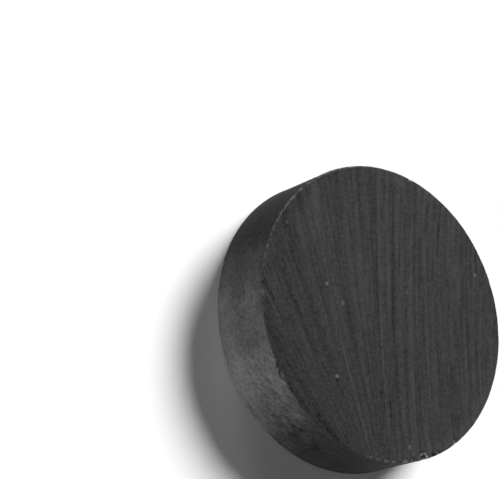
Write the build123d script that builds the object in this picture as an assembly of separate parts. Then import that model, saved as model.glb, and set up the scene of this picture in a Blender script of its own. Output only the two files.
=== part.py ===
from build123d import *
import math
import os

# Ferrite disc magnet: one pressed and sintered disc with its two pole faces ground flat.
# It lies on its lower pole face. The origin is the centre of that face, +Z is the disc's axis,
# and +Y is the way the grinding marks run on the upper face. All lengths are in millimetres.

# Driving sizes of the disc
diameter = 20.0
thickness = 5.0
edge_break = 0.08  # leg of the 45 degree break that grinding leaves on both rims

# Driving sizes of the chips in the upper rim, for a chip whose shares are 1
chip_length = 0.9  # along the rim
chip_depth = 0.16  # square to the broken edge

# One row for each chip: its angle round the disc from +X, the angle of its bite above the
# level (small bites into the wall, large bites into the pole face, and past 90 the ball's
# centre lies inside the rim), and its shares of the length and of the depth.
chip_shares = [
    (66.0, 60, 0.50, 0.30),
    (110.5, 45, 0.30, 0.20),
    (123.5, 45, 0.35, 0.20),
    (153.0, 50, 0.45, 0.35),
    (169.7, 88, 0.95, 0.80),
    (199.3, 25, 0.60, 0.45),
    (202.6, 20, 1.00, 1.00),
    (251.2, 62, 0.60, 0.55),
    (255.4, 90, 0.40, 0.50),
    (259.8, 98, 0.45, 0.50),
    (262.9, 72, 0.35, 0.40),
    (268.8, 92, 0.45, 0.55),
    (272.7, 104, 0.45, 0.60),
    (277.8, 104, 0.88, 1.05),
    (282.5, 104, 0.45, 0.65),
    (285.8, 104, 0.40, 0.60),
    (295.7, 95, 0.45, 0.45),
]

# Sizes that follow from the driving sizes
radius = diameter / 2
corner_cut = edge_break / math.sqrt(2)  # from the sharp corner to the middle of its break


def pressed_disc():
    """The plain disc, with both rims broken at 45 degrees."""
    disc = Cylinder(radius, thickness, align=(Align.CENTER, Align.CENTER, Align.MIN))
    rims = disc.edges().filter_by(GeomType.CIRCLE)
    return chamfer(rims, edge_break)


def rim_chip(around, above_level, length, depth):
    """The ball that bites one shell-shaped chip out of the upper rim.

    The ball's size is set by the chip's chord along the rim and by its depth. Its centre lies
    outside the rim, in the direction that the bite faces.
    """
    ball_radius = (length**2 / 4 + depth**2) / (2 * depth)
    centre_from_corner = ball_radius - depth - corner_cut
    outwards = radius + centre_from_corner * math.cos(math.radians(above_level))
    upwards = thickness + centre_from_corner * math.sin(math.radians(above_level))
    return Rot(0, 0, around) * Pos(outwards, 0, upwards) * Sphere(ball_radius)


def magnet_disc():
    """The disc as it is in use, with the chips that its upper rim has lost."""
    disc = pressed_disc()
    for around, above_level, length_share, depth_share in chip_shares:
        disc -= rim_chip(around, above_level, chip_length * length_share, chip_depth * depth_share)
    return disc


os.makedirs("parts", exist_ok=True)
export_step(magnet_disc(), "parts/magnet_disc.step")
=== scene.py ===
import math

import bmesh
import bpy
from bpy.props import FloatProperty, FloatVectorProperty, PointerProperty
from mathutils import Matrix, Vector


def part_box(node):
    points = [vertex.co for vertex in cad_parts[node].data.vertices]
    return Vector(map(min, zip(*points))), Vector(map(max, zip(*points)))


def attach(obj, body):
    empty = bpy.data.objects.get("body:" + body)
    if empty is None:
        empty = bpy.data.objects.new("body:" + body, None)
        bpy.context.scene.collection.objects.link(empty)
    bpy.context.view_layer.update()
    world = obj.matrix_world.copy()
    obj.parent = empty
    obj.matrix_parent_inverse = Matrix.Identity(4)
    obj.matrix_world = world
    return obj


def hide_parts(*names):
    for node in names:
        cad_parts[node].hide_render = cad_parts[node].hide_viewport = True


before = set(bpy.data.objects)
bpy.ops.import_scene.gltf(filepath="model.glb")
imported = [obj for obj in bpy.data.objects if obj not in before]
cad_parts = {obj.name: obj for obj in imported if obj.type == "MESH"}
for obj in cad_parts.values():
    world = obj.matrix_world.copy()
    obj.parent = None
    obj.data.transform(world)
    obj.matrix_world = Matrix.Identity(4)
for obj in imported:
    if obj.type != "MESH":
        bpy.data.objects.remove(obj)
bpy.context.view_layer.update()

bl_info = {
    "name": "Ferrite Disc Magnet",
    "version": (1, 0, 0),
    "blender": (4, 5, 0),
    "location": "3D View > Sidebar > Disc Magnet",
    "description": "Builds a ferrite disc magnet with ground pole faces, and a plain stage for it",
    "category": "Object",
}

# The magnet lies on its lower pole face, centred on the origin, with +Z along its axis.
CAD_NODE = "magnet_disc"
CAD_BODY = "root"
MM = 0.001
low_corner, high_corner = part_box(CAD_NODE)
cad_diameter = high_corner.x - low_corner.x
cad_thickness = high_corner.z - low_corner.z

# The grinding marks of a pole face fan out. Each mark runs from the lower half of the rim to the
# upper half. Its place in the fan is a share, 0 at the left, where the marks touch the rim, and 1
# at the right. The upper ends are spread evenly round their part of the rim.
FAN_LEFT = math.radians(200.4)
FAN_UPPER_PART = math.radians(215.8)
# How far the lower end of a mark lies round its own part of the rim, for a few places in the fan
LOWER_END_SHARES = [
    (0.0, 0.0),
    (0.05, 0.115),
    (0.10, 0.225),
    (0.17, 0.28),
    (0.25, 0.326),
    (0.35, 0.348),
    (0.45, 0.396),
    (0.55, 0.426),
    (0.62, 0.503),
    (0.70, 0.632),
    (0.77, 0.729),
    (0.84, 0.83),
    (0.91, 0.92),
    (1.0, 1.0),
]
# How far a mark bows to the left, as a share of the most, and the most as a share of its length
BOW_SHARES = [
    (0.0, 0.0),
    (0.10, 0.5),
    (0.30, 0.62),
    (0.45, 0.5),
    (0.62, 0.65),
    (0.70, 1.0),
    (0.77, 0.6),
    (0.91, 0.4),
    (1.0, 0.0),
]
MOST_BOW = 0.03
FAN_END_FADE = 0.012  # the marks die out over this share of the fan at its two ends

# Chance marks of several widths: how many lie side by side across the fan, how often one changes
# along its length, and how much it lightens or darkens the face.
MARK_WIDTHS = [
    (16.0, 0.8, 0.25),
    (38.0, 0.7, 0.46),
    (45.0, 4.0, 0.46),
    (70.0, 0.8, 0.63),
    (95.0, 2.5, 0.65),
    (110.0, 10.0, 0.50),
    (200.0, 3.0, 0.33),
]
# The marks that stand out on the upper face, some of them painted shade: the place in the fan of the lower
# and of the upper end, the half width there, the tone, and where the mark starts and stops along its
# length.
STREAKS = [
    # The first, second and fourth rows are painted shade, darker over the left of the fan and along the
    # face's lower left rim.
    (0.00, 0.00, 0.450, -0.12, 0.0, 1.0),
    (0.02, 0.02, 0.060, -0.20, 0.0, 1.0),
    (0.105, 0.088, 0.022, -0.24, 0.0, 1.0),
    (0.10, 0.10, 0.060, -0.30, 0.0, 0.12),
    (0.155, 0.155, 0.012, 0.18, 0.45, 1.0),
    (0.187, 0.187, 0.012, 0.25, 0.60, 0.92),
    (0.215, 0.218, 0.010, 0.14, 0.25, 0.60),
    (0.252, 0.236, 0.014, -0.05, 0.30, 1.0),
    (0.283, 0.283, 0.007, -0.40, 0.83, 0.89),
    (0.316, 0.312, 0.005, -0.28, 0.82, 1.0),
    (0.338, 0.338, 0.008, 0.35, 0.38, 0.61),
    (0.377, 0.384, 0.007, 0.38, 0.0, 1.0),
    (0.428, 0.421, 0.012, -0.22, 0.05, 0.56),
    (0.460, 0.455, 0.011, 0.10, 0.42, 0.90),
    (0.483, 0.483, 0.007, 0.08, 0.50, 0.95),
    (0.520, 0.520, 0.012, -0.32, 0.12, 0.24),
    (0.534, 0.534, 0.006, 0.10, 0.0, 0.60),
    (0.545, 0.548, 0.008, 0.55, 0.05, 1.0),
    (0.565, 0.562, 0.006, -0.42, 0.10, 0.25),
    (0.575, 0.572, 0.005, 0.25, 0.40, 0.75),
    (0.590, 0.582, 0.007, -0.20, 0.0, 0.95),
    (0.597, 0.595, 0.004, 0.20, 0.10, 0.80),
    (0.617, 0.620, 0.004, 0.20, 0.50, 0.95),
    (0.630, 0.632, 0.006, 0.36, 0.0, 1.0),
    (0.643, 0.645, 0.004, -0.30, 0.05, 0.45),
    (0.655, 0.655, 0.007, -0.25, 0.60, 0.98),
    (0.663, 0.663, 0.005, -0.33, 0.0, 0.60),
    (0.668, 0.668, 0.004, 0.20, 0.0, 0.85),
    (0.700, 0.700, 0.005, -0.30, 0.35, 0.70),
    (0.727, 0.727, 0.004, -0.25, 0.12, 0.36),
    (0.738, 0.738, 0.008, 0.25, 0.60, 1.0),
    (0.748, 0.755, 0.007, -0.28, 0.0, 0.45),
    (0.763, 0.763, 0.006, 0.20, 0.52, 0.80),
    (0.770, 0.770, 0.006, 0.15, 0.10, 0.60),
    (0.780, 0.780, 0.005, -0.15, 0.55, 0.78),
    (0.795, 0.795, 0.007, 0.28, 0.02, 0.32),
    (0.812, 0.806, 0.007, -0.18, 0.02, 0.42),
    (0.84, 0.84, 0.035, 0.14, 0.0, 0.20),
    (0.92, 0.92, 0.060, -0.16, 0.45, 0.95),
]
STREAK_FADE = 0.06  # share of its length over which a streak comes and goes
UPPER_MARKS_SEED = 0.0
LOWER_MARKS_SEED = 40.0
# The even lines that the passes of the grinding wheel left in the right half of the fan: how many
# would lie across the whole fan, how often they drift and how far, in radians, and their tone
PASSES = 55.0
PASS_DRIFTS = 6.0
PASS_DRIFT = 10.0
PASS_TONE = 0.09
# Where across the fan these lines come in and where they die out
PASSES_START = (0.40, 0.58)
PASSES_STOP = (0.78, 0.9)
# The strength of the chance marks that are finer than these lines, and what it gains among them
FINE_STRENGTH = 1.1
FINE_GAIN = 0.4
# The finest scratches: how many lie across the fan, and how often one changes along its length
SCRATCHES_ACROSS = 420.0
SCRATCHES_ALONG = 12.0

# Bright grains and dark pits that stand out on the upper face: place across and up it, and size,
# as shares of the radius, and the tone.
FACE_SPECKS = [
    (-0.484, -0.409, 0.017, 3.2),
    (-0.489, -0.433, 0.017, -0.5),
    (-0.453, 0.198, 0.016, 2.6),
    (-0.344, 0.067, 0.018, 1.7),
    (0.851, 0.238, 0.018, 2.4),
    (0.030, -0.901, 0.020, 2.0),
    (0.214, 0.127, 0.016, 1.1),
    (-0.706, 0.610, 0.017, 0.9),
    (-0.140, -0.533, 0.018, -0.4),
    (-0.085, -0.604, 0.017, -0.4),
    (-0.093, -0.690, 0.019, -0.4),
    (-0.299, -0.136, 0.015, -0.3),
    (0.250, -0.559, 0.015, -0.3),
    (0.254, 0.812, 0.018, -0.3),
    (0.481, 0.607, 0.017, -0.4),
    (0.135, 0.389, 0.015, -0.3),
    (-0.702, 0.412, 0.020, -0.25),
]
# The upper face is painted lighter at its lower right, a painted sheen: how much its tone grows from the
# middle to the rim along +X and along +Y
PAINTED_SHEEN_LEAN = (0.12, -0.09)
# Painted light and shade close to the face's rim, where the face is painted lighter or darker: the angle of
# the middle round the disc from +X, the half width in degrees, and the tone.
PAINTED_RIM_LIGHT_AND_SHADE = [
    (120.0, 34.0, -0.22),
    (226.0, 20.0, -0.28),
    (298.0, 52.0, 0.34),
    (62.0, 24.0, 0.16),
]
PAINTED_RIM_LIGHT_AND_SHADE_REACH = (0.88, 0.98)  # where these begin and where they are full, as shares of the radius
# How much the finest scratches and the grain lighten and darken the face, how much smoother a light
# mark is, how far the scratches and the grain stand out, and the face's shine
SCRATCH_TONE = 0.4
FACE_GRAIN_TONE = 1.7
MARK_GLOSS = 0.1
FACE_BUMP = 0.006 * MM
FACE_SHINE = 0.05

# Light and dark patches of the wall: the angle of the middle round the disc from +X, the half width in
# degrees, and the tone. Those from 134 to 246 degrees are painted light and shade, lighter where the light
# falls on the wall and darker where it lies in shade, and the others are patchy tone.
WALL_PATCHES_AND_PAINTED_LIGHT = [
    (207.0, 20.0, 0.39),
    (188.0, 26.0, 0.39),
    (161.0, 16.0, 0.17),
    (134.0, 36.0, -0.22),
    (246.0, 24.0, -0.13),
    (60.0, 30.0, 0.30),
    (20.0, 25.0, 0.05),
    (330.0, 35.0, 0.35),
    (290.0, 22.0, 0.10),
]
PLAIN_WALL = 0.34  # the wall outside its patches, as a share of its lightest colour
PATCH_WANDER_SHARE = 0.08  # how far the edges of the patches wander
# Slanted scratches cross the wall about one angle, and stand out light on its dark part about
# another. About a third, the wall is darker along its upper edge. Each has the angle, and how
# squarely the wall faces it where the change begins and where it is full.
HATCHED_PART = 212.0
HATCHED_REACH = (0.85, 0.97)
SCRATCHED_PART = 228.0
SCRATCHED_REACH = (0.94, 0.99)
SHADED_PART = 156.0
SHADED_REACH = (0.87, 0.97)
# The slanted scratches: the sine and cosine of their slant of 36 degrees, how fine they are across
# and along it, and their tones outside and inside the hatched part and on the dark part
HATCH_SINE = 0.588
HATCH_COSINE = 0.809
HATCH_ACROSS = 4.0 / MM
HATCH_ALONG = 1.2 / MM
HATCH_TONES = (0.2, 0.95)
LIGHT_HATCH_TONE = 0.3
# Where the wall changes with its height, as shares of the thickness, and by how much
# Painted light: the wall is painted lighter towards its foot.
PAINTED_FOOT_LIGHT_REACH = (0.1, 0.5)
PAINTED_FOOT_LIGHT = 0.55
LOWER_EDGE_REACH = (0.05, 0.35)
LOWER_EDGE_TONE = 0.06
UPPER_EDGE_REACH = (0.86, 0.96)
SHADED_TONE = -0.2
# The tones of the wall's blotches and of its mottling, with the least share of the mottling and
# what it gains in the light patches, how far it stands out, and the wall's shine
BLOTCH_TONE = 0.6
MOTTLE_TONE = 1.6
MOTTLE_LEAST = 0.2
MOTTLE_GAIN = 0.75
WALL_BUMP = 0.02 * MM
WALL_SHINE = 0.15
# Where the wall's unevenness begins below the upper rim and stops above the lower one, as shares
# of the steps down the wall
UNEVEN_START = (0.0, 0.15)
UNEVEN_STOP = (0.95, 1.0)
# Spots that stand out on the wall: the angle, the height and the size as shares of the thickness,
# and the tone.
WALL_SPOTS = [
    (218.2, 0.456, 0.055, -0.25),
    (219.7, 0.61, 0.060, -0.35),
    (223.0, 0.567, 0.060, -0.35),
    (225.6, 0.64, 0.050, -0.30),
    (143.0, 0.50, 0.130, -0.25),
    (151.0, 0.45, 0.090, -0.25),
    (168.5, 0.56, 0.100, -0.18),
    (191.0, 0.30, 0.250, 0.15),
    (202.3, 0.746, 0.070, 0.25),
    (197.3, 0.33, 0.045, 0.20),
    (211.4, 0.12, 0.045, 0.20),
    (187.0, 0.15, 0.250, 0.14),
    (201.0, 0.95, 0.200, -0.14),
    (205.5, 0.74, 0.090, 0.18),
    (211.0, 0.85, 0.120, 0.24),
    (211.0, 0.52, 0.160, 0.14),
    (218.0, 0.93, 0.160, -0.30),
    (223.5, 0.86, 0.100, -0.20),
]

# One row for each chip in the upper rim: its angle round the disc from +X, the angle of its bite above the
# level, its shares of the chip length and of the chip depth, how fresh it is, from 0, dull and dark, to 2
# or more, bright and sparkling with painted glints, and how much painted shade darkens its middle and its
# left.
CHIP_SHARES = [
    (66.0, 60, 0.50, 0.30, 0.6, 0.0),
    (110.5, 45, 0.30, 0.20, 0.8, 0.0),
    (123.5, 45, 0.35, 0.20, 0.8, 0.0),
    (153.0, 50, 0.45, 0.35, 0.5, 0.0),
    (169.7, 88, 0.95, 0.80, 0.22, 0.0),
    (199.3, 25, 0.60, 0.45, 0.1, 0.0),
    (202.6, 20, 1.00, 1.00, 0.3, 0.0),
    (251.2, 62, 0.60, 0.55, 0.7, 0.5),
    (255.4, 90, 0.40, 0.50, 0.8, 0.0),
    (259.8, 98, 0.45, 0.50, 0.7, 0.0),
    (262.9, 72, 0.35, 0.40, 1.8, 0.0),
    (268.8, 92, 0.45, 0.55, 1.4, 0.0),
    (272.7, 104, 0.45, 0.60, 0.8, 0.0),
    (277.8, 104, 0.88, 1.05, 3.2, 0.95),
    (282.5, 104, 0.45, 0.65, 0.5, 0.0),
    (285.8, 104, 0.40, 0.60, 0.8, 0.0),
    (295.7, 95, 0.45, 0.45, 0.9, 0.0),
]

# Where a chip's middle gets painted shade, as shares of the chip's depth, and how far it lies to the left.
# Where its left gets painted shade, as shares of the radius of the chip's ball, and how dark it is.
PAINTED_SHADE_DEPTHS = (0.62, 0.9)
PAINTED_SHADE_SHIFT = 0.25
PAINTED_SHADE_SIDE = (-0.5, 0.05)
PAINTED_SHADE_SIDE_SHARE = 0.95
# A fresh chip's tone and that of its facets, which is partly painted glint, how much darker a dull chip is,
# the least and the most shine, and how rough the shine is
FRESH_TONE = 1.5
FRESH_FACET_TONE = 5.0
DULL_CHIP_LOSS = 0.7
CHIP_SHINE = (0.05, 0.5)
CHIP_SHINE_ROUGHNESS = 0.5
BROKEN_ENOUGH = 0.6  # the share of a face's corners in a chip from which it has the chip's finish

# The upper rim is worn wider about this angle, by this share of its break. Then how squarely the
# rim faces the angle where the wear begins and where it is full, in the shape and in the shine.
WORN_RIM = 118.0
WORN_GROWTH = 0.4
WORN_SHAPE_REACH = (0.85, 0.95)
WORN_SHINE_REACH = (0.5, 0.8)
RIM_WANDER_SHARE = 1.4  # how much the width of the upper rim's break wanders
# The tone and roughness of the rim's facets, how far facets stand out, and the rim's roughness and
# shine, with what the dull stretches add to the first and the beads of the worn part to the second
RIM_FACET_TONE = 3.0
RIM_FACET_ROUGHNESS = 0.8
FACET_BUMP = 0.03 * MM
RIM_ROUGHNESS = 0.35
DULL_ROUGHNESS = 0.4
DULL_EDGES = (-0.08, 0.08)
RIM_SHINE = 0.6
BEAD_SHINE = 0.45
BEAD_EDGES = (-0.1, 0.12)

# Chance patterns: how fine each one is, how many finer layers it has, and how strong these are. The
# first three follow lines or the rim, and the others count grains to a metre.
MARK_LINES = (1.0, 2.0, 0.6)
SOFT_LINES = (1.0, 2.0, 0.5)
RIM_WANDER = (9.0, 4.0, 0.7)
FACE_GRAIN = (5.5 / MM, 2.0, 0.5)
WALL_MOTTLE = (4.5 / MM, 2.0, 0.6)
WALL_BLOTCHES = (1.1 / MM, 2.0, 0.5)
WALL_UNEVENNESS = (1.6 / MM, 4.0, 0.6)
PATCH_WANDER = (0.7 / MM, 3.0, 0.6)
FACETS = (9.0 / MM, 3.0, 0.6)
RIM_BEADS = (3.0 / MM, 2.0, 0.6)
RIM_DULLNESS = (1.6 / MM, 2.0, 0.6)
CHIP_UNEVENNESS = (4.0 / MM, 3.0, 0.5)
DARKEST_SHARE = 0.05  # the least share of its colour that any finish keeps
SPOT_CORE = 0.4  # the share of a spot that has its full tone

# How finely the surface is divided: strips side by side across the fan, and steps along them
FAN_STRIPS = 640
FACE_STEPS = 60
RIM_STEPS = 3
WALL_STEPS = 34
HIDDEN_FACE_STEPS = 8
WALL_STEP_GROWTH = 1.6  # the wall's steps are finest at the upper rim
SEAM_REACH = 0.0001 * MM
MOST_TRIANGLES = 200_000

# Zones of the surface, each with its own finish, and how far a zone's number may be off
ZONE_GROUND, ZONE_RIM, ZONE_WALL = range(3)
ZONE_REACH = 0.5

# The camera stands where the photograph was taken from, in the disc's own frame.
CAMERA_PLACE_MM = Vector((-85.727, -19.501, 105.070))
CAMERA_AHEAD = Vector((0.59127, 0.19117, -0.78349))
CAMERA_UP = Vector((0.0, 0.97150, 0.23705))
CAMERA_LENS_MM = 145.1
CAMERA_SENSOR_MM = 36.0
CAMERA_CLIP_START = 1.0 * MM
CAMERA_CLIP_END = 10.0

# Where each light stands: the angle round the disc from +X and the height above the floor, and how
# widely it spreads, all in degrees
KEY_LIGHT = (40.0, 42.0, 26.0)
PANEL_LIGHT = (195.0, 4.0, 14.0)
RIM_LIGHT = (98.0, 15.0, 20.0)
FLOOR_WIDTH = 3.0


class Amount:
    """A number or vector on its way through a node tree. Sums with it add Math nodes."""

    def __init__(self, tree, socket):
        self.tree = tree
        self.socket = socket

    def math(self, operation, *others):
        node = self.tree.nodes.new("ShaderNodeMath")
        node.operation = operation
        for socket, value in zip(node.inputs, (self, *others)):
            feed(self.tree, socket, value)
        return Amount(self.tree, node.outputs[0])

    def __add__(self, other):
        return self.math("ADD", other)

    def __radd__(self, other):
        return self.math("ADD", other)

    def __sub__(self, other):
        return self.math("SUBTRACT", other)

    def __rsub__(self, other):
        return self.math("MULTIPLY_ADD", -1.0, other)

    def __mul__(self, other):
        return self.math("MULTIPLY", other)

    def __rmul__(self, other):
        return self.math("MULTIPLY", other)

    def __truediv__(self, other):
        return self.math("DIVIDE", other)

    def __pow__(self, other):
        return self.math("POWER", other)

    def sine(self):
        return self.math("SINE")

    def cosine(self):
        return self.math("COSINE")

    def larger(self, other):
        return self.math("MAXIMUM", other)

    def within(self, low, high):
        return self.math("MAXIMUM", low).math("MINIMUM", high)

    def ramp(self, low, high, first=0.0, last=1.0):
        """Eases from first to last as the number goes from low to high."""
        inputs = {"Value": self, "From Min": low, "From Max": high, "To Min": first, "To Max": last}
        node = add_node(self.tree, "ShaderNodeMapRange", inputs, interpolation_type="SMOOTHSTEP")
        return Amount(self.tree, node.outputs["Result"])

    def along_curve(self, points):
        """Reads a smooth curve through given points, both ways from 0 to 1."""
        node = add_node(self.tree, "ShaderNodeFloatCurve", {"Value": self})
        curve = node.mapping.curves[0]
        curve.points[0].location = points[0]
        curve.points[1].location = points[-1]
        for place, height in points[1:-1]:
            curve.points.new(place, height)
        for point in curve.points:
            point.handle_type = "AUTO_CLAMPED"
        node.mapping.update()
        return Amount(self.tree, node.outputs["Value"])


def feed(tree, socket, value):
    """Links an amount to a socket, or writes a plain value there."""
    if isinstance(value, Amount):
        tree.links.new(value.socket, socket)
    else:
        socket.default_value = value


def add_node(tree, kind, inputs=None, **settings):
    """Adds a node with its settings, then feeds the named inputs."""
    node = tree.nodes.new(kind)
    for name, value in settings.items():
        setattr(node, name, value)
    for name, value in (inputs or {}).items():
        feed(tree, node.inputs[name], value)
    return node


def vector(tree, x, y, z):
    node = add_node(tree, "ShaderNodeCombineXYZ", {"X": x, "Y": y, "Z": z})
    return Amount(tree, node.outputs["Vector"])


def parts_of(tree, place):
    node = add_node(tree, "ShaderNodeSeparateXYZ", {"Vector": place})
    return [Amount(tree, output) for output in node.outputs]


def vectors(tree, operation, first, second=None, **inputs):
    """A sum of vectors. Gives its vector, or its number where it has only one."""
    node = add_node(tree, "ShaderNodeVectorMath", inputs, operation=operation)
    feed(tree, node.inputs[0], first)
    if second is not None:
        feed(tree, node.inputs[1], second)
    is_number = operation in {"LENGTH", "DISTANCE", "DOT_PRODUCT"}
    return Amount(tree, node.outputs["Value" if is_number else "Vector"])


def noise(tree, place, pattern, flat=False):
    """Smooth noise about zero in a chance pattern, mostly within a quarter either way."""
    scale, detail, roughness = pattern
    inputs = {"Vector": place, "Scale": scale, "Detail": detail, "Roughness": roughness}
    dimensions = "2D" if flat else "3D"
    node = add_node(tree, "ShaderNodeTexNoise", inputs, noise_dimensions=dimensions)
    return Amount(tree, node.outputs["Fac"]) - 0.5


def stored(tree, geometry, name, value, kind="FLOAT", domain="POINT"):
    """Keeps a value on the geometry under a name."""
    inputs = {"Geometry": geometry, "Name": name, "Value": value}
    node = add_node(tree, "GeometryNodeStoreNamedAttribute", inputs, data_type=kind, domain=domain)
    return Amount(tree, node.outputs["Geometry"])


def recalled(tree, name, kind="FLOAT"):
    """Reads a value that was kept on the geometry."""
    node = add_node(tree, "GeometryNodeInputNamedAttribute", {"Name": name}, data_type=kind)
    return Amount(tree, node.outputs["Attribute"])


def moved(tree, geometry, place, only=True):
    inputs = {"Geometry": geometry, "Selection": only, "Position": place}
    node = add_node(tree, "GeometryNodeSetPosition", inputs)
    return Amount(tree, node.outputs["Geometry"])


def new_tree(name, numbers, changes_geometry=True):
    """A geometry tree with an input for each number. Returns it with its inputs as amounts.

    It changes the geometry that goes through it, or else it gives a tone.
    """
    tree = bpy.data.node_groups.new(name, "GeometryNodeTree")
    if changes_geometry:
        tree.interface.new_socket("Geometry", in_out="INPUT", socket_type="NodeSocketGeometry")
        tree.interface.new_socket("Geometry", in_out="OUTPUT", socket_type="NodeSocketGeometry")
    else:
        tree.interface.new_socket("Tone", in_out="OUTPUT", socket_type="NodeSocketFloat")
    for number in numbers:
        tree.interface.new_socket(number, in_out="INPUT", socket_type="NodeSocketFloat")
    entry = tree.nodes.new("NodeGroupInput")
    amounts = {output.name: Amount(tree, output) for output in entry.outputs if output.name}
    return tree, amounts


def finish_tree(tree, result):
    leave = tree.nodes.new("NodeGroupOutput")
    feed(tree, leave.inputs[0], result)


def use_tree(tree, used, **inputs):
    """Puts one tree to work in another. The inputs are named with _ for a space."""
    node = add_node(tree, "GeometryNodeGroup", node_tree=used)
    for name, value in inputs.items():
        feed(tree, node.inputs[name.replace("_", " ").title()], value)
    return Amount(tree, node.outputs[0])


def input_name(tree, name):
    """The identifier by which a modifier knows an input of its tree."""
    for item in tree.interface.items_tree:
        if item.in_out == "INPUT" and item.name == name:
            return item.identifier
    raise RuntimeError(f"the tree {tree.name} has no input named {name}")


CHIP_INPUTS = (
    "Around",
    "Above Level",
    "Length",
    "Depth",
    "Radius",
    "Thickness",
    "Edge Break",
    "Roughness",
    "Freshness",
    "Dull Middle",
)


def rim_chip_tree():
    """A tree that bites one shell-shaped chip out of the upper rim with a ball.

    The ball's size is set by the chip's chord along the rim and by its depth. Its centre lies
    outside the rim, in the direction that the bite faces. What lies inside it moves to its surface.
    """
    tree, size = new_tree("Rim chip", CHIP_INPUTS)
    length, depth = size["Length"], size["Depth"]
    ball = (length * length / 4.0 + depth * depth) / (depth * 2.0)
    out_from_corner = ball - depth - size["Edge Break"] * math.sqrt(0.5)
    outwards = size["Radius"] + out_from_corner * size["Above Level"].cosine()
    upwards = size["Thickness"] + out_from_corner * size["Above Level"].sine()
    around = size["Around"]
    centre = vector(tree, outwards * around.cosine(), outwards * around.sine(), upwards)
    place = Amount(tree, tree.nodes.new("GeometryNodeInputPosition").outputs["Position"])
    offset = vectors(tree, "SUBTRACT", place, centre)
    away = vectors(tree, "LENGTH", offset)
    reach = ball + noise(tree, place, CHIP_UNEVENNESS) * size["Roughness"] * depth
    landed = vectors(tree, "ADD", centre, vectors(tree, "SCALE", offset, Scale=reach / away))
    x, y, z = parts_of(tree, landed)
    within_wall = (size["Radius"] / (x * x + y * y) ** 0.5).within(0.0, 1.0)
    landed = vector(tree, x * within_wall, y * within_wall, z)
    inside = away.math("LESS_THAN", reach)
    broken = inside.larger(recalled(tree, "broken"))
    geometry = stored(tree, size["Geometry"], "broken", broken)
    # Painted shade: the chip's middle and its left keep less of its freshness, which darkens them.
    to_right = parts_of(tree, offset)[0] / ball
    sunk = (reach - away) / (ball - out_from_corner) - to_right * PAINTED_SHADE_SHIFT
    dull = sunk.ramp(*PAINTED_SHADE_DEPTHS).larger(to_right.ramp(*PAINTED_SHADE_SIDE, PAINTED_SHADE_SIDE_SHARE, 0.0))
    freshness = size["Freshness"] * (1.0 - dull * size["Dull Middle"])
    fresh = recalled(tree, "fresh").larger(inside * freshness)
    geometry = stored(tree, geometry, "fresh", fresh)
    finish_tree(tree, moved(tree, geometry, landed, inside))
    return tree


STREAK_INPUTS = (
    "Across",
    "Along",
    "Lower Place",
    "Upper Place",
    "Half Width",
    "Strength",
    "First",
    "Last",
)


def streak_tree():
    """A tree that gives the tone of one streak at a place in the fan."""
    tree, size = new_tree("Face streak", STREAK_INPUTS, changes_geometry=False)
    along = size["Along"]
    place = size["Lower Place"] + along * (size["Upper Place"] - size["Lower Place"])
    aside = (size["Across"] - place).math("ABSOLUTE")
    come = along.ramp(size["First"] - STREAK_FADE, size["First"] + STREAK_FADE)
    go = along.ramp(size["Last"] - STREAK_FADE, size["Last"] + STREAK_FADE, 1.0, 0.0)
    finish_tree(tree, aside.ramp(0.0, size["Half Width"], size["Strength"], 0.0) * come * go)
    return tree


def marks_tree(name, seed, streaks=()):
    """A tree that gives the tone of a face's grinding marks about zero at a place in the fan, with the
    painted shade among its streaks.
    """
    tree, size = new_tree(name, ("Across", "Along"), changes_geometry=False)
    across, along = size["Across"], size["Along"]
    right_half = across.ramp(*PASSES_START) * across.ramp(*PASSES_STOP, 1.0, 0.0)
    drift_place = vector(tree, across * PASS_DRIFTS, along + seed, 0.0)
    drift = noise(tree, drift_place, SOFT_LINES, flat=True)
    passes = (across * (2 * math.pi * PASSES) + drift * PASS_DRIFT).sine()
    tone = passes * right_half * PASS_TONE
    for across_scale, along_scale, strength in MARK_WIDTHS:
        place = vector(tree, across * across_scale, along * along_scale + seed, 0.0)
        line = noise(tree, place, MARK_LINES, flat=True) * strength
        if across_scale > PASSES:
            line = line * (right_half * FINE_GAIN + FINE_STRENGTH)
        tone = tone + line
    one_streak = streak_tree()
    for lower_place, upper_place, half_width, strength, first, last in streaks:
        tone = tone + use_tree(
            tree,
            one_streak,
            across=across,
            along=along,
            lower_place=lower_place,
            upper_place=upper_place,
            half_width=half_width,
            strength=strength,
            first=first,
            last=last,
        )
    left_fade = across.ramp(0.0, FAN_END_FADE)
    right_fade = across.ramp(1.0 - FAN_END_FADE, 1.0, 1.0, 0.0)
    finish_tree(tree, tone * left_fade * right_fade)
    return tree


DISC_INPUTS = (
    "Diameter",
    "Thickness",
    "Edge Break",
    "Groove Depth",
    "Grain Depth",
    "Chip Length",
    "Chip Depth",
    "Chip Roughness",
)


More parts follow.
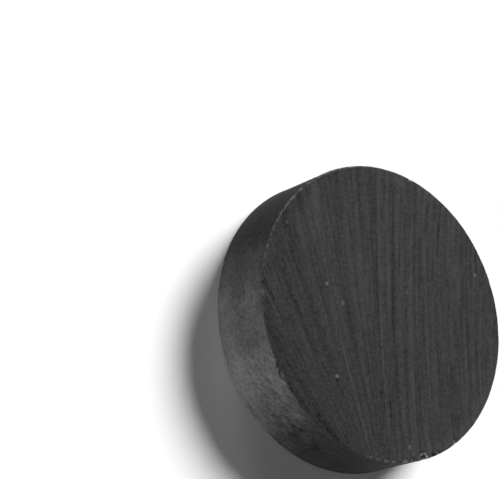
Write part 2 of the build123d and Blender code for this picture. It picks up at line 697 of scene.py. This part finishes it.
class DiscSheets:
    """The sheets that close round the disc: two pole faces, and a rim, wall and rim on each side.

    Every sheet is a flat grid, whose first coordinate is the place in the fan of marks. It is
    bent into place, and the sheets meet edge to edge.
    """

    def __init__(self, tree, size):
        self.tree = tree
        self.size = size
        self.radius = size["Diameter"] * 0.5
        place = Amount(tree, tree.nodes.new("GeometryNodeInputPosition").outputs["Position"])
        x, y = parts_of(tree, place)[:2]
        self.across = x + 0.5
        self.step = y + 0.5
        self.upper_angle = FAN_LEFT - self.across * FAN_UPPER_PART
        lower_part = 2 * math.pi - FAN_UPPER_PART
        self.lower_angle = self.across.along_curve(LOWER_END_SHARES) * lower_part + FAN_LEFT
        self.bow = self.across.along_curve(BOW_SHARES) * MOST_BOW
        self.upper_marks = marks_tree("Upper face marks and painted shade", UPPER_MARKS_SEED, STREAKS)
        self.lower_marks = marks_tree("Lower face marks", LOWER_MARKS_SEED)
        self.sheets = []

    def edge_break(self, angle):
        """The leg of the upper rim's break at an angle, which wanders round the rim."""
        direction = vector(self.tree, angle.cosine(), angle.sine(), 0.0)
        wander = noise(self.tree, direction, RIM_WANDER)
        towards_worn = (angle - math.radians(WORN_RIM)).cosine()
        worn = towards_worn.ramp(*WORN_SHAPE_REACH, 0.0, WORN_GROWTH)
        return self.size["Edge Break"] * (wander * RIM_WANDER_SHARE + 1.0 + worn)

    def lower_edge_break(self, angle):
        """The leg of the lower rim's break, which is the same at every angle."""
        return self.size["Edge Break"]

    def mark(self, along, upper):
        """The tone of a face's grinding marks and of the upper face's painted shade, which their depth
        follows too.
        """
        marks = self.upper_marks if upper else self.lower_marks
        return use_tree(self.tree, marks, across=self.across, along=along)

    def groove(self, mark):
        """How deep a mark lies below the face's highest level."""
        return self.size["Groove Depth"] * (0.5 - mark).within(0.0, 1.0)

    def fan_place(self, along, edge):
        """Where a mark of the fan is at a share of its length, inside the broken edge."""
        ends = []
        for angle in (self.lower_angle, self.upper_angle):
            reach = self.radius - edge(angle)
            ends.append((reach * angle.cosine(), reach * angle.sine()))
        (low_x, low_y), (up_x, up_y) = ends
        run_x = up_x - low_x
        run_y = up_y - low_y
        bowed = self.bow * along * (1.0 - along) * 4.0  # all of the bow at the middle of the mark
        x = low_x + run_x * along - bowed * run_y
        y = low_y + run_y * along + bowed * run_x
        return x, y

    def lay(self, steps, place, zone, turned, kept=()):
        """Makes one sheet, with what its finish needs to know kept on it."""
        inputs = {"Size X": 1.0, "Size Y": 1.0, "Vertices X": FAN_STRIPS + 1, "Vertices Y": steps + 1}
        grid = add_node(self.tree, "GeometryNodeMeshGrid", inputs)
        sheet = Amount(self.tree, grid.outputs["Mesh"])
        sheet = stored(self.tree, sheet, "zone", zone, "INT", "FACE")
        for name, value, kind in kept:
            sheet = stored(self.tree, sheet, name, value, kind, "CORNER")
        sheet = moved(self.tree, sheet, place)
        if turned:
            flip = add_node(self.tree, "GeometryNodeFlipFaces", {"Mesh": sheet})
            sheet = Amount(self.tree, flip.outputs["Mesh"])
        self.sheets.append(sheet)

    def lay_pole_face(self, steps, edge, upper):
        """Lays one pole face, with its steps closest together at the rim."""
        along = 0.5 - (self.step * math.pi).cosine() * 0.5
        mark = self.mark(along, upper)
        run = vector(self.tree, self.across, along, 0.0)
        x, y = self.fan_place(along, edge)
        height = self.size["Thickness"] - self.groove(mark) if upper else self.groove(mark)
        kept = [("run", run, "FLOAT_VECTOR"), ("mark", mark, "FLOAT")]
        self.lay(steps, vector(self.tree, x, y, height), ZONE_GROUND, not upper, kept)

    def lay_side(self, angle, along_end, turned):
        """Lays the rims and the wall at one end of the marks."""
        tree, size, step = self.tree, self.size, self.step
        leg = self.edge_break(angle)
        low_leg = self.lower_edge_break(angle)

        def on_side(reach, height):
            return vector(tree, reach * angle.cosine(), reach * angle.sine(), height)

        top = size["Thickness"] - self.groove(self.mark(along_end, True)) * (1.0 - step)
        upper_rim = on_side(self.radius - leg * (1.0 - step), top - leg * step)
        self.lay(RIM_STEPS, upper_rim, ZONE_RIM, turned)
        wall_top = size["Thickness"] - leg
        height = wall_top - (wall_top - low_leg) * step**WALL_STEP_GROWTH
        skin = on_side(self.radius, height)
        coarse = noise(tree, skin, WALL_UNEVENNESS) + 0.5
        fade = step.ramp(*UNEVEN_START) * step.ramp(*UNEVEN_STOP, 1.0, 0.0)
        wall = on_side(self.radius - size["Grain Depth"] * coarse * fade, height)
        self.lay(WALL_STEPS, wall, ZONE_WALL, turned)
        bottom = self.groove(self.mark(along_end, False)) * step
        lower_rim = on_side(self.radius - low_leg * step, low_leg * (1.0 - step) + bottom)
        self.lay(RIM_STEPS, lower_rim, ZONE_WALL, turned)

    def joined(self):
        """All sheets in one skin, with their edges merged."""
        join = self.tree.nodes.new("GeometryNodeJoinGeometry")
        for sheet in self.sheets:
            feed(self.tree, join.inputs["Geometry"], sheet)
        skin = Amount(self.tree, join.outputs["Geometry"])
        inputs = {"Geometry": skin, "Distance": SEAM_REACH}
        merge = add_node(self.tree, "GeometryNodeMergeByDistance", inputs)
        return Amount(self.tree, merge.outputs["Geometry"])


def disc_tree(ground, wall, rim, chip):
    """The tree that builds the disc, with finishes for its faces, wall, upper rim and chips."""
    tree, size = new_tree("Ferrite disc", DISC_INPUTS)
    sheets = DiscSheets(tree, size)
    sheets.lay_pole_face(FACE_STEPS, sheets.edge_break, True)
    sheets.lay_pole_face(HIDDEN_FACE_STEPS, sheets.lower_edge_break, False)
    sheets.lay_side(sheets.upper_angle, 1.0, False)
    sheets.lay_side(sheets.lower_angle, 0.0, True)
    skin = sheets.joined()
    chip_tree = rim_chip_tree()
    for around, above_level, length_share, depth_share, freshness, dull_middle in CHIP_SHARES:
        skin = use_tree(
            tree,
            chip_tree,
            geometry=skin,
            around=math.radians(around),
            above_level=math.radians(above_level),
            length=size["Chip Length"] * length_share,
            depth=size["Chip Depth"] * depth_share,
            radius=sheets.radius,
            thickness=size["Thickness"],
            edge_break=size["Edge Break"],
            roughness=size["Chip Roughness"],
            freshness=freshness,
            dull_middle=dull_middle,
        )
    smooth = add_node(tree, "GeometryNodeSetShadeSmooth", {"Geometry": skin, "Shade Smooth": True})
    whole = add_node(tree, "GeometryNodeRealizeInstances", {"Geometry": Amount(tree, smooth.outputs[0])})
    skin = Amount(tree, whole.outputs["Geometry"])
    zone = recalled(tree, "zone", "INT")
    finishes = [
        (ground, True),
        (wall, zone.math("COMPARE", float(ZONE_WALL), ZONE_REACH)),
        (rim, zone.math("COMPARE", float(ZONE_RIM), ZONE_REACH)),
        (chip, recalled(tree, "broken").math("GREATER_THAN", BROKEN_ENOUGH)),
    ]
    for material, where in finishes:
        inputs = {"Geometry": skin, "Selection": where, "Material": material}
        skin = Amount(tree, add_node(tree, "GeometryNodeSetMaterial", inputs).outputs["Geometry"])
    finish_tree(tree, skin)
    return tree


def new_material(name):
    """A material with a fresh Principled shader. Returns it with its tree and the shader."""
    material = bpy.data.materials.new(name)
    material.use_nodes = True
    tree = material.node_tree
    tree.nodes.clear()
    shader = tree.nodes.new("ShaderNodeBsdfPrincipled")
    output = tree.nodes.new("ShaderNodeOutputMaterial")
    tree.links.new(shader.outputs["BSDF"], output.inputs["Surface"])
    return material, tree, shader


def kept_value(tree, name, output="Fac"):
    """A number or vector that the geometry tree kept on the surface."""
    node = add_node(tree, "ShaderNodeAttribute", attribute_name=name)
    return Amount(tree, node.outputs[output])


def object_place(tree):
    node = tree.nodes.new("ShaderNodeTexCoord")
    return Amount(tree, node.outputs["Object"])


def tinted(tree, colour, tone):
    """A colour made lighter or darker by a tone about zero."""
    return vectors(tree, "SCALE", tuple(colour), Scale=(tone + 1.0).larger(DARKEST_SHARE))


def bumped(tree, height, distance):
    node = add_node(tree, "ShaderNodeBump", {"Height": height, "Distance": distance, "Strength": 1.0})
    return Amount(tree, node.outputs["Normal"])


def spot(tree, place, middle, size, tone):
    """A soft round spot of a tone at one place."""
    away = vectors(tree, "DISTANCE", place, middle)
    return away.ramp(size * SPOT_CORE, size, tone, 0.0)


def facing(tree, outwards, angle):
    """How squarely the disc's side faces an angle round it: 1 at that angle and less beside it."""
    around = math.radians(angle)
    return vectors(tree, "DOT_PRODUCT", outwards, (math.cos(around), math.sin(around), 0.0))


def patch(faces, half_width, tone):
    """A soft patch of a tone, where the side faces an angle to within a half width."""
    return faces.ramp(math.cos(math.radians(half_width)), 1.0, 0.0, tone)


def ground_face(sizes, finish):
    """The pole faces: charcoal ceramic with a fan of grinding marks."""
    material, tree, shader = new_material("Ground ferrite")
    place = object_place(tree)
    across, along = parts_of(tree, kept_value(tree, "run", "Vector"))[:2]
    mark = kept_value(tree, "mark")
    scratch_place = vector(tree, across * SCRATCHES_ACROSS, along * SCRATCHES_ALONG, 0.0)
    scratches = noise(tree, scratch_place, MARK_LINES, flat=True)
    grain = noise(tree, place, FACE_GRAIN)
    radius = sizes.diameter / 2
    x, y = parts_of(tree, place)[:2]
    # Painted sheen: the face is painted lighter towards its lower right.
    painted_sheen = x * (PAINTED_SHEEN_LEAN[0] / radius) + y * (PAINTED_SHEEN_LEAN[1] / radius)
    level = vector(tree, x, y, 0.0)
    outwards = vectors(tree, "NORMALIZE", level)
    near_rim = (vectors(tree, "LENGTH", level) / radius).ramp(*PAINTED_RIM_LIGHT_AND_SHADE_REACH)
    tone = mark * finish.mark_strength + scratches * SCRATCH_TONE + grain * FACE_GRAIN_TONE + painted_sheen
    # Painted light and shade near the face's rim.
    for angle, half_width, painted_tone in PAINTED_RIM_LIGHT_AND_SHADE:
        tone = tone + patch(facing(tree, outwards, angle), half_width, painted_tone) * near_rim
    for across_share, up_share, size_share, speck_tone in FACE_SPECKS:
        middle = (across_share * radius, up_share * radius, sizes.thickness)
        tone = tone + spot(tree, place, middle, size_share * radius, speck_tone)
    feed(tree, shader.inputs["Base Color"], tinted(tree, finish.face_colour, tone))
    feed(tree, shader.inputs["Roughness"], finish.face_roughness - mark * MARK_GLOSS)
    feed(tree, shader.inputs["Normal"], bumped(tree, scratches + grain, FACE_BUMP))
    shader.inputs["Specular IOR Level"].default_value = FACE_SHINE
    return material


def slanted_scratches(tree, place, radius):
    """Noise in short lines that cross the wall at a slant."""
    x, y, z = parts_of(tree, place)
    arc = (y * -1.0).math("ARCTAN2", x * -1.0) * radius
    across = arc * -HATCH_SINE + z * HATCH_COSINE
    along = arc * HATCH_COSINE + z * HATCH_SINE
    lines = vector(tree, across * HATCH_ACROSS, along * HATCH_ALONG, 0.0)
    return noise(tree, lines, SOFT_LINES, flat=True)


def sintered_wall(sizes, finish):
    """The wall: as it came out of the press and the kiln, matt, patchy and mottled, with painted light and
    shade on part of its patches and at its foot.
    """
    material, tree, shader = new_material("Sintered ferrite")
    place = object_place(tree)
    x, y, z = parts_of(tree, place)
    outwards = vectors(tree, "NORMALIZE", vector(tree, x, y, 0.0))
    wander = noise(tree, place, PATCH_WANDER)
    patches = PLAIN_WALL
    # Painted light and shade in the patches from 134 to 246 degrees.
    for angle, half_width, patch_tone in WALL_PATCHES_AND_PAINTED_LIGHT:
        faces = facing(tree, outwards, angle) + wander * PATCH_WANDER_SHARE
        patches = patches + patch(faces, half_width, patch_tone)
    radius = sizes.diameter / 2
    mottle = noise(tree, place, WALL_MOTTLE)
    hatch = slanted_scratches(tree, place, radius)
    hatch_tone = facing(tree, outwards, HATCHED_PART).ramp(*HATCHED_REACH, *HATCH_TONES)
    tone = noise(tree, place, WALL_BLOTCHES) * BLOTCH_TONE + hatch * hatch_tone
    for angle, height_share, size_share, spot_tone in WALL_SPOTS:
        around = math.radians(angle)
        middle = (radius * math.cos(around), radius * math.sin(around), height_share * sizes.thickness)
        tone = tone + spot(tree, place, middle, size_share * sizes.thickness, spot_tone)
    height = z / sizes.thickness
    # Painted light towards the wall's foot.
    painted_foot_light = height.ramp(*PAINTED_FOOT_LIGHT_REACH, PAINTED_FOOT_LIGHT, 0.0)
    shaded = facing(tree, outwards, SHADED_PART).ramp(*SHADED_REACH)
    top = height.ramp(*UPPER_EDGE_REACH, 0.0, SHADED_TONE) * shaded
    speckle = mottle * MOTTLE_TONE * (patches * MOTTLE_GAIN + MOTTLE_LEAST)
    on_dark = facing(tree, outwards, SCRATCHED_PART).ramp(*SCRATCHED_REACH, 0.0, LIGHT_HATCH_TONE)
    lower_edge = height.ramp(*LOWER_EDGE_REACH, LOWER_EDGE_TONE, 0.0)
    tone = (tone + painted_foot_light + top + 1.0) * patches + speckle + hatch * on_dark + lower_edge - 1.0
    feed(tree, shader.inputs["Base Color"], tinted(tree, finish.wall_colour, tone))
    shader.inputs["Roughness"].default_value = finish.wall_roughness
    feed(tree, shader.inputs["Normal"], bumped(tree, mottle, WALL_BUMP))
    shader.inputs["Specular IOR Level"].default_value = WALL_SHINE
    return material


def broken_rim(finish):
    """The narrow break along the upper rim: a little uneven, as dark as the faces."""
    material, tree, shader = new_material("Rim break")
    place = object_place(tree)
    facets = noise(tree, place, FACETS)
    beads = noise(tree, place, RIM_BEADS).ramp(*BEAD_EDGES, -BEAD_SHINE, BEAD_SHINE)
    dull = noise(tree, place, RIM_DULLNESS).ramp(*DULL_EDGES, 0.0, DULL_ROUGHNESS)
    outwards = vectors(tree, "NORMALIZE", place)
    worn = facing(tree, outwards, WORN_RIM).ramp(*WORN_SHINE_REACH)
    feed(tree, shader.inputs["Base Color"], tinted(tree, finish.rim_colour, facets * RIM_FACET_TONE))
    feed(tree, shader.inputs["Roughness"], facets * RIM_FACET_ROUGHNESS + dull + RIM_ROUGHNESS)
    feed(tree, shader.inputs["Specular IOR Level"], worn * beads + RIM_SHINE)
    feed(tree, shader.inputs["Normal"], bumped(tree, facets, FACET_BUMP))
    return material


def fresh_chip(finish):
    """The chips: fresh ceramic whose facets are light or dark, with painted glints on the fresh chips and
    painted shade in some of their middles and on their left.
    """
    material, tree, shader = new_material("Chipped ferrite")
    facets = noise(tree, object_place(tree), FACETS)
    fresh = kept_value(tree, "fresh")
    # The fresh chips' light facets are partly painted glint, and their darker middles and left sides are
    # painted shade.
    tone = (facets * FRESH_FACET_TONE + FRESH_TONE) * fresh + facets - DULL_CHIP_LOSS
    feed(tree, shader.inputs["Base Color"], tinted(tree, finish.chip_colour, tone))
    shine = (fresh * CHIP_SHINE[1]).within(*CHIP_SHINE)
    feed(tree, shader.inputs["Specular IOR Level"], shine)
    shader.inputs["Roughness"].default_value = CHIP_SHINE_ROUGHNESS
    feed(tree, shader.inputs["Normal"], bumped(tree, facets, FACET_BUMP))
    return material


def length_size(name, description, default):
    """A size of the disc that a user can change."""
    return FloatProperty(
        name=name,
        description=description,
        default=default,
        min=0.0,
        unit="LENGTH",
        precision=6,
    )


def grey_colour(name, description, default):
    """A colour that a user can change, grey to start with."""
    return FloatVectorProperty(
        name=name,
        description=description,
        default=(default, default, default),
        min=0.0,
        max=1.0,
        subtype="COLOR",
    )


def light_strength(name, description, default):
    return FloatProperty(name=name, description=description, default=default, min=0.0)


class DiscMagnetSizes(bpy.types.PropertyGroup):
    """Sizes of the disc."""

    diameter: length_size("Diameter", "Width of the disc across its wall", cad_diameter)
    thickness: length_size("Thickness", "From the lower pole face to the upper one", cad_thickness)
    edge_break: length_size("Edge break", "Leg of the 45 degree break on both rims", 0.08 * MM)
    chip_length: length_size("Chip length", "Length along the rim of a full-sized chip", 0.9 * MM)
    chip_depth: length_size("Chip depth", "Depth of a full-sized chip, square to the edge", 0.16 * MM)
    chip_roughness: FloatProperty(
        name="Chip roughness",
        description="How uneven the surface in a chip is, as a share of its depth",
        default=1.2,
        min=0.0,
    )
    groove_depth: length_size("Groove depth", "Depth of the deepest grinding marks", 0.02 * MM)
    grain_depth: length_size("Grain depth", "Depth of the unevenness of the wall", 0.03 * MM)


class DiscMagnetFinish(bpy.types.PropertyGroup):
    """Colours and gloss of the disc."""

    face_colour: grey_colour("Ground faces", "Colour of the ground pole faces", 0.026)
    wall_colour: grey_colour("Wall", "Colour of the lightest patches of the wall", 0.082)
    rim_colour: grey_colour("Rim break", "Colour of the narrow break along the upper rim", 0.022)
    chip_colour: grey_colour("Chips", "Colour of the chips in the upper rim", 0.06)
    mark_strength: FloatProperty(
        name="Mark strength",
        description="How much the grinding marks lighten and darken the faces",
        default=1.0,
        min=0.0,
    )
    face_roughness: FloatProperty(
        name="Face roughness",
        description="Roughness of the ground pole faces",
        default=0.5,
        min=0.0,
        max=1.0,
        subtype="FACTOR",
    )
    wall_roughness: FloatProperty(
        name="Wall roughness",
        description="Roughness of the wall",
        default=0.85,
        min=0.0,
        max=1.0,
        subtype="FACTOR",
    )


class DiscMagnetStage(bpy.types.PropertyGroup):
    """The floor and the light."""

    floor_colour: grey_colour("Floor", "Colour of the plain floor", 0.92)
    key_strength: light_strength("Key light", "Strength of the main light, from behind", 4.85)
    panel_strength: light_strength("Panel light", "Strength of the low light on the wall", 2.5)
    rim_strength: light_strength("Rim light", "Strength of the low light that draws the rim", 0.42)
    fill_strength: light_strength("Fill light", "Strength of the even light from all sides", 0.03)


def plain_mesh(piece):
    """Turns what the piece's modifiers make into its own mesh, and removes them."""
    depsgraph = bpy.context.evaluated_depsgraph_get()
    evaluated = piece.evaluated_get(depsgraph)
    mesh = bpy.data.meshes.new_from_object(evaluated, preserve_all_data_layers=True, depsgraph=depsgraph)
    piece.modifiers.clear()
    piece.data = mesh
    mesh.name = piece.name


def check_closed(piece):
    """Raises an error unless every edge of the piece has two faces and it isn't too fine."""
    form = bmesh.new()
    form.from_mesh(piece.data)
    open_edges = sum(not edge.is_manifold for edge in form.edges)
    triangles = sum(len(face.verts) - 2 for face in form.faces)
    volume = form.calc_volume(signed=True)
    form.free()
    if open_edges or volume <= 0 or triangles > MOST_TRIANGLES:
        raise RuntimeError(f"{piece.name}: {open_edges} open edges, {triangles} triangles, volume {volume}")


class DISC_MAGNET_OT_build_disc(bpy.types.Operator):
    """Build the ferrite disc with its ground faces, sintered wall and chipped rim"""

    bl_idname = "disc_magnet.build_disc"
    bl_label = "Build Disc"

    def execute(self, context):
        sizes = context.scene.disc_magnet_sizes
        finish = context.scene.disc_magnet_finish
        ground = ground_face(sizes, finish)
        wall = sintered_wall(sizes, finish)
        tree = disc_tree(ground, wall, broken_rim(finish), fresh_chip(finish))
        disc = bpy.data.objects.new("ferrite_disc", bpy.data.meshes.new("ferrite_disc"))
        context.scene.collection.objects.link(disc)
        modifier = disc.modifiers.new("Ferrite disc", "NODES")
        modifier.node_group = tree
        for name in DISC_INPUTS:
            modifier[input_name(tree, name)] = getattr(sizes, name.lower().replace(" ", "_"))
        plain_mesh(disc)
        check_closed(disc)
        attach(disc, CAD_BODY)
        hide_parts(CAD_NODE)
        return {"FINISHED"}


def add_sun(name, strength, around, above, spread):
    """A soft light from far off, aimed at the disc."""
    light = bpy.data.lights.new(name, "SUN")
    light.energy = strength
    light.angle = math.radians(spread)
    lamp = bpy.data.objects.new(name, light)
    azimuth, elevation = math.radians(around), math.radians(above)
    level = math.cos(elevation)
    towards = Vector((math.cos(azimuth) * level, math.sin(azimuth) * level, math.sin(elevation)))
    lamp.rotation_mode = "QUATERNION"
    lamp.rotation_quaternion = towards.to_track_quat("Z", "Y")
    bpy.context.scene.collection.objects.link(lamp)


class DISC_MAGNET_OT_set_stage(bpy.types.Operator):
    """Set the floor, the light and the camera"""

    bl_idname = "disc_magnet.set_stage"
    bl_label = "Set Stage"

    def execute(self, context):
        stage = context.scene.disc_magnet_stage
        self.lay_floor(context, stage)
        self.light(context, stage)
        self.aim_camera(context)
        context.scene.view_settings.view_transform = "Standard"
        return {"FINISHED"}

    def lay_floor(self, context, stage):
        half = FLOOR_WIDTH / 2
        corners = [(-half, -half, 0.0), (half, -half, 0.0), (half, half, 0.0), (-half, half, 0.0)]
        mesh = bpy.data.meshes.new("floor")
        mesh.from_pydata(corners, [], [(0, 1, 2, 3)])
        floor = bpy.data.objects.new("floor", mesh)
        material, _, shader = new_material("Pale floor")
        shader.inputs["Base Color"].default_value = (*stage.floor_colour, 1.0)
        shader.inputs["Roughness"].default_value = 1.0
        shader.inputs["Specular IOR Level"].default_value = 0.0
        mesh.materials.append(material)
        context.scene.collection.objects.link(floor)

    def light(self, context, stage):
        add_sun("key", stage.key_strength, *KEY_LIGHT)
        add_sun("panel", stage.panel_strength, *PANEL_LIGHT)
        add_sun("rim", stage.rim_strength, *RIM_LIGHT)
        world = bpy.data.worlds.new("studio")
        world.use_nodes = True
        tree = world.node_tree
        tree.nodes.clear()
        path = tree.nodes.new("ShaderNodeLightPath")
        seen = Amount(tree, path.outputs["Is Camera Ray"])
        strength = stage.fill_strength + seen * (1.0 - stage.fill_strength)
        glow = add_node(tree, "ShaderNodeBackground", {"Strength": strength})
        glow.inputs["Color"].default_value = (1.0, 1.0, 1.0, 1.0)
        output = tree.nodes.new("ShaderNodeOutputWorld")
        tree.links.new(glow.outputs["Background"], output.inputs["Surface"])
        context.scene.world = world

    def aim_camera(self, context):
        lens = bpy.data.cameras.new("camera")
        lens.lens = CAMERA_LENS_MM
        lens.sensor_width = CAMERA_SENSOR_MM
        lens.clip_start = CAMERA_CLIP_START
        lens.clip_end = CAMERA_CLIP_END
        camera = bpy.data.objects.new("camera", lens)
        back = -CAMERA_AHEAD.normalized()
        right = CAMERA_UP.cross(back).normalized()
        up = back.cross(right)
        turn = Matrix((right, up, back)).transposed()
        camera.matrix_world = Matrix.Translation(CAMERA_PLACE_MM * MM) @ turn.to_4x4()
        context.scene.collection.objects.link(camera)
        context.scene.camera = camera


class DISC_MAGNET_PT_panel(bpy.types.Panel):
    """Lists the disc, its sizes and finish, and the stage"""

    bl_label = "Disc Magnet"
    bl_idname = "DISC_MAGNET_PT_panel"
    bl_space_type = "VIEW_3D"
    bl_region_type = "UI"
    bl_category = "Disc Magnet"

    def draw(self, context):
        layout = self.layout
        groups = (
            (context.scene.disc_magnet_sizes, None),
            (context.scene.disc_magnet_finish, DISC_MAGNET_OT_build_disc),
            (context.scene.disc_magnet_stage, DISC_MAGNET_OT_set_stage),
        )
        for group, operator in groups:
            for name in group.__annotations__:
                layout.prop(group, name)
            if operator:
                layout.operator(operator.bl_idname)


CLASSES = (
    DiscMagnetSizes,
    DiscMagnetFinish,
    DiscMagnetStage,
    DISC_MAGNET_OT_build_disc,
    DISC_MAGNET_OT_set_stage,
    DISC_MAGNET_PT_panel,
)


def register():
    for kind in CLASSES:
        bpy.utils.register_class(kind)
    bpy.types.Scene.disc_magnet_sizes = PointerProperty(type=DiscMagnetSizes)
    bpy.types.Scene.disc_magnet_finish = PointerProperty(type=DiscMagnetFinish)
    bpy.types.Scene.disc_magnet_stage = PointerProperty(type=DiscMagnetStage)


def unregister():
    del bpy.types.Scene.disc_magnet_stage
    del bpy.types.Scene.disc_magnet_finish
    del bpy.types.Scene.disc_magnet_sizes
    for kind in reversed(CLASSES):
        bpy.utils.unregister_class(kind)


def main():
    register()
    bpy.ops.disc_magnet.build_disc()
    bpy.ops.disc_magnet.set_stage()


if __name__ == "__main__":
    main()
